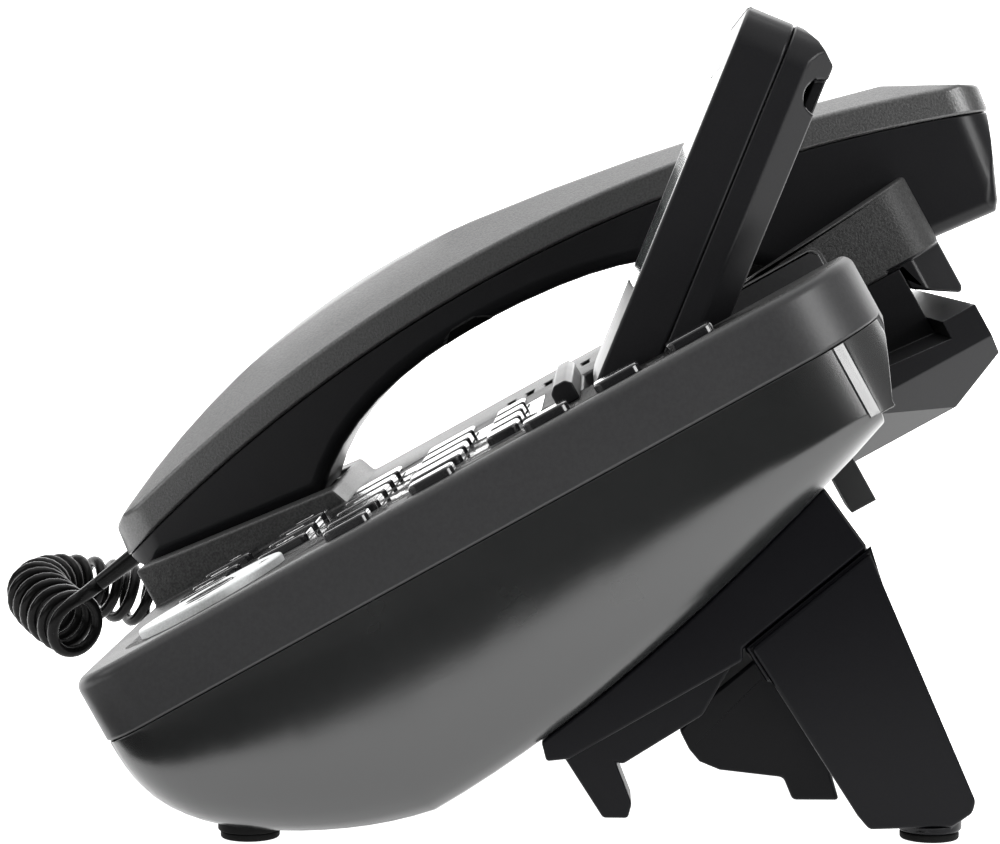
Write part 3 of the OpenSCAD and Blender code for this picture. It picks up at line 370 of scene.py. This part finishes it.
# The rear block and the bosses of the front feet, which are darker than the belly
BLOCK_START = 0.1615
BLOCK_X = 0.0201
BOSS_PLACE = (0.076, -0.0576)
BOSS_R = 0.0066


def paint_belly(mats):
    """The rear block is smooth black, and the bosses over the front feet are as dark as the feet."""
    mesh = nodes["lower_housing"].data
    mesh.materials.append(mats["smooth"])
    mesh.materials.append(mats["rubber"])
    to_deck = DECK.inverted()
    for face in mesh.polygons:
        x, y, z = face.center
        if (to_deck @ face.center).y > BLOCK_START and x < BLOCK_X:
            face.material_index = 1
        elif math.hypot(abs(x) - BOSS_PLACE[0], y - BOSS_PLACE[1]) < BOSS_R and z < BOSS_R:
            face.material_index = 2


# Curly cord: the coil's axis is the source's, and its radius a little smaller
CORD_D = 0.0028
COIL_R = 0.00664
CURL_PITCH = 0.005
START_PHASE = math.radians(128)
CURL_POINTS = 24
ROUTE = [Vector(p) * MM for p in [
    (-50, -113, 23), (-61, -121, 25.5), (-76, -127.5, 28), (-91, -124.5, 28), (-102, -112, 25),
    (-108, -95, 19.5), (-110, -76, 13.5), (-111, -55, 9.6), (-111, -30, 9), (-111, 0, 9)]]
ROUTE_STEPS = 60
BOOT_LEN = 0.012
PLUG_DEPTH = 0.0055
BOOT_FALL = math.radians(DECK_TILT - HANDSET_LEAN + BOOT_DROOP)
BOOT_WAY = Vector((0, -math.cos(BOOT_FALL), -math.sin(BOOT_FALL)))
BOOT_END = HANDSET @ Vector((0, -0.0052, 0.0025)) + BOOT_LEN * BOOT_WAY
JACK_END = DECK @ Vector((-0.095, 0.12, -0.033)) + Vector((PLUG_DEPTH - BOOT_LEN, 0, 0))


def bezier(p, n):
    """Points of a cubic curve with the four control points p, in n steps."""
    points = []
    for i in range(n + 1):
        t = i / n
        first_half = (1 - t) ** 3 * p[0] + 3 * t * (1 - t) ** 2 * p[1]
        points.append(first_half + 3 * t * t * (1 - t) * p[2] + t ** 3 * p[3])
    return points


def route_at(t):
    """A point of the smooth curve through the route's points."""
    n = len(ROUTE) - 1
    i = min(int(t), n - 1)
    s = t - i
    a, b, c, d = ROUTE[max(i - 1, 0)], ROUTE[i], ROUTE[i + 1], ROUTE[min(i + 2, n)]
    square = 2 * a - 5 * b + 4 * c - d
    cube = 3 * b - a - 3 * c + d
    return 0.5 * (2 * b + (c - a) * s + square * s ** 2 + cube * s ** 3)


def cord_path():
    """Points of the cord from the handset's boot to the base's boot."""
    steps = ROUTE_STEPS * (len(ROUTE) - 1)
    walk = [route_at(i / ROUTE_STEPS) for i in range(steps + 1)]
    lengths = [0.0]
    for a, b in zip(walk, walk[1:]):
        lengths.append(lengths[-1] + (b - a).length)
    total = lengths[-1]
    turns = int(total / CURL_PITCH)

    def axis_at(s):
        s = min(max(s, 0), total)
        i = max(1, next(k for k, length in enumerate(lengths) if length >= s))
        share = (s - lengths[i - 1]) / (lengths[i] - lengths[i - 1])
        return walk[i - 1].lerp(walk[i], share)

    curls = []
    count = CURL_POINTS * turns
    for i in range(count + 1):
        s = total * i / count
        way = (axis_at(s + 0.0005) - axis_at(s - 0.0005)).normalized()
        side = way.cross(Vector((0, 0, 1))).normalized()
        up = side.cross(way)
        a = START_PHASE + 2 * math.pi * i / CURL_POINTS
        curls.append(axis_at(s) + COIL_R * (math.cos(a) * side + math.sin(a) * up))
    first = (curls[1] - curls[0]).normalized()
    last = (curls[-1] - curls[-2]).normalized()
    tail_in = BOOT_END + CORD_D * BOOT_WAY
    tail_out = JACK_END - Vector((CORD_D, 0, 0))
    in_tail = bezier([tail_in, tail_in + 0.004 * BOOT_WAY, curls[0] - 0.003 * first, curls[0]], 8)
    before_jack = tail_out - Vector((0.018, 0, 0))
    out_tail = bezier([curls[-1], curls[-1] + 0.022 * last, before_jack, tail_out], 28)
    return [BOOT_END] + in_tail + curls[1:-1] + out_tail + [JACK_END]


def tube(name, path, radii, sides):
    """A closed round tube along path, with a radius per point and rings that don't twist."""
    bm = bmesh.new()
    end = len(path) - 1
    ways = [(path[min(i + 1, end)] - path[max(i - 1, 0)]).normalized() for i in range(end + 1)]
    side = Vector((1, 0, 0))
    rings = []
    for point, way, radius in zip(path, ways, radii):
        side = (side - side.dot(way) * way).normalized()
        other = way.cross(side)
        rings.append([bm.verts.new(point + radius * (math.cos(a) * side + math.sin(a) * other))
                      for a in [2 * math.pi * k / sides for k in range(sides)]])
    for a, b in zip(rings, rings[1:]):
        for k in range(sides):
            bm.faces.new((a[k], a[(k + 1) % sides], b[(k + 1) % sides], b[k]))
    bm.faces.new(reversed(rings[0]))
    bm.faces.new(rings[-1])
    mesh = bpy.data.meshes.new(name)
    bm.to_mesh(mesh)
    bm.free()
    mesh.polygons.foreach_set("use_smooth", [True] * len(mesh.polygons))
    obj = bpy.data.objects.new(name, mesh)
    bpy.context.collection.objects.link(obj)
    return obj


def make_cord(mats):
    path = cord_path()
    radii = [CORD_D / 2 * (1 + 0.28 * max(0, 1 - i / 8)) for i in range(len(path))]
    obj = tube("coiled_cord", path, radii, 12)
    obj.data.materials.append(mats["cord"])
    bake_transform(obj)
    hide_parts("curly_cord")


# Dial keys in the deck frame, in millimetres: the first one, the pitch and the height of the print
DIAL_FIRST = (2, 77.5)
DIAL_PITCH = (21, 18.5)
DIAL_PRINT = 1.82


def make_digits(mats):
    """Printed marks on the dial keys."""
    marks = ["1", "2", "3", "4", "5", "6", "7", "8", "9", "*", "0", "#"]
    names = ["1", "2", "3", "4", "5", "6", "7", "8", "9", "star", "0", "hash"]
    for i, (mark, name) in enumerate(zip(marks, names)):
        curve = bpy.data.curves.new("digit", "FONT")
        curve.body = mark
        curve.size = 0.0062
        curve.extrude = 0.00002
        curve.align_x = "CENTER"
        curve.align_y = "CENTER"
        made = bpy.data.objects.new("digit", curve)
        mesh = bpy.data.meshes.new_from_object(made)
        bpy.data.objects.remove(made)
        obj = bpy.data.objects.new("digit_" + name, mesh)
        bpy.context.collection.objects.link(obj)
        x = DIAL_FIRST[0] + DIAL_PITCH[0] * (i % 3)
        u = DIAL_FIRST[1] - DIAL_PITCH[1] * (i // 3)
        obj.matrix_world = DECK @ Matrix.Translation(Vector((x, u, DIAL_PRINT)) * MM)
        obj.data.materials.append(mats["print"])
        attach(obj, "key_" + name)


# Fine pieces
def piece(name, points, faces, mat, body):
    """A mesh in the part's frame that moves with body."""
    mesh = bpy.data.meshes.new(name)
    mesh.from_pydata(points, [], faces)
    obj = bpy.data.objects.new(name, mesh)
    bpy.context.collection.objects.link(obj)
    obj.data.materials.append(mat)
    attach(obj, body)
    return obj


def prism(outline, low, high):
    """Points and faces of an outline raised from low to high."""
    n = len(outline)
    points = [Vector((x, y, z)) for z in (low, high) for x, y in outline]
    sides = [(i, (i + 1) % n, n + (i + 1) % n, n + i) for i in range(n)]
    return points, sides + [tuple(range(n - 1, -1, -1)), tuple(range(n, 2 * n))]


def make_arrows(mats):
    """Four marks round the navigation ring, each an arrowhead with a notched tail."""
    centre = DECK @ Matrix.Translation(Vector((72, 27, 0)) * MM)
    head = [Vector(p) * MM for p in [(13.4, 0), (11.4, 1.5), (11.9, 0), (11.4, -1.5)]]
    for i, name in enumerate(["right", "up", "left", "down"]):
        points, faces = prism(head, 1.8 * MM, 1.84 * MM)
        turn = centre @ Matrix.Rotation(math.radians(90 * i), 4, "Z")
        placed = [turn @ p for p in points]
        piece("arrow_" + name, placed, faces, mats["gloss"], "nav_ring")


# Line sockets in the deck frame, in millimetres: their middle, and the contact wires in them
SOCKETS_X = -48
SOCKET_HALF_PITCH = 6
CONTACT_PITCH = 1.6
CONTACT_R = 0.24
CONTACT_LINE = [(179.2, -29.6), (186.4, -30.2), (187.4, -30.8), (187.2, -31.6), (181.5, -32.6)]


def make_contacts(mats):
    """Four bent contact wires in each line socket."""
    for i in range(8):
        x = SOCKETS_X + SOCKET_HALF_PITCH * (2 * (i // 4) - 1) + CONTACT_PITCH * (i % 4 - 1.5)
        line = [DECK @ (Vector((x, u, v)) * MM) for u, v in CONTACT_LINE]
        obj = tube("contact_%d" % (i + 1), line, [CONTACT_R * MM] * len(line), 8)
        obj.data.materials.append(mats["brass"])
        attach(obj, "base")


def make_mask(mats):
    """Dark frame round the visible area of the screen, under the window."""
    outer = [(-29.8, 17.2), (29.8, 17.2), (29.8, 66.8), (-29.8, 66.8)]
    inner = [(-26.6, 23.2), (26.6, 23.2), (26.6, 61.4), (-26.6, 61.4)]
    points = [DISPLAY @ (Vector((x, y, z)) * MM) for z in (7.42, 7.55) for x, y in outer + inner]
    faces = []
    for i in range(4):
        j = (i + 1) % 4
        faces += [(j, i, i + 4, j + 4), (i + 8, j + 8, j + 12, i + 12)]
        faces += [(i, j, j + 8, i + 8), (j + 4, i + 4, i + 12, j + 12)]
    piece("screen_mask", points, faces, mats["gloss"], "display")


# Underside of the handset's grip, as in the part's source: its arch, half width and fillet
GRIP_ARCH = [Vector(p) * MM for p in [(44, 0), (56, 16), (80, 23), (112, 23)]]
GRIP_HALF = 24.5 * MM
GRIP_FILLET = 3.5 * MM
GRIP_STEPS = 200

# The grip's pad: its middle and half length as shares of the arch, and its two layers
PAD_MIDDLE = 0.742
PAD_HALF = 0.085
PAD_LAYERS = [("grip_pad_border", 1.0, 0.99, 0.06, "charcoal"), ("grip_pad", 0.86, 0.975, 0.16, "rubber")]


def grip_point(t, s, out):
    """A point of the underside: t along the arch, s from -1 to 1 round it, raised by out."""
    at = bezier(GRIP_ARCH, GRIP_STEPS)
    i = min(GRIP_STEPS - 1, max(0, round(GRIP_STEPS * t)))
    along = (at[i + 1] - at[i]).normalized()
    down = Vector((along.y, -along.x))
    flat = GRIP_HALF - GRIP_FILLET
    run = abs(s) * (flat + GRIP_FILLET * math.radians(75))
    turn = max(0, run - flat) / GRIP_FILLET
    x = min(run, flat) + (GRIP_FILLET + out) * math.sin(turn)
    p = at[i] + down * (out - (GRIP_FILLET + out) * (1 - math.cos(turn)))
    return HANDSET @ Vector((math.copysign(x, s), p.x, p.y))


def make_grip_pad(mats):
    """A soft pad let into the grip's underside, wrapped round its edges, in a thin border."""
    rows = 13
    cols = 41
    for name, grow, reach, out, mat in PAD_LAYERS:
        points = []
        for j in range(cols):
            s = (2 * j / (cols - 1) - 1) * reach
            half = PAD_HALF * grow * (1 - abs(s) ** 14) ** 0.5
            along = [PAD_MIDDLE + half * (2 * i / (rows - 1) - 1) for i in range(rows)]
            points += [grip_point(t, s, out * MM) for t in along]
        faces = [(j * rows + i, j * rows + i + 1, (j + 1) * rows + i + 1, (j + 1) * rows + i)
                 for j in range(cols - 1) for i in range(rows - 1)]
        obj = piece(name, points, faces, mats[mat], "handset")
        obj.data.polygons.foreach_set("use_smooth", [True] * len(faces))


make_camera()
make_light()
make_floor()
mats = make_materials()
make_cord(mats)
mark_rim()
dress_nodes(mats)
paint_casing(mats)
paint_belly(mats)
make_digits(mats)
make_arrows(mats)
make_contacts(mats)
make_mask(mats)
make_grip_pad(mats)
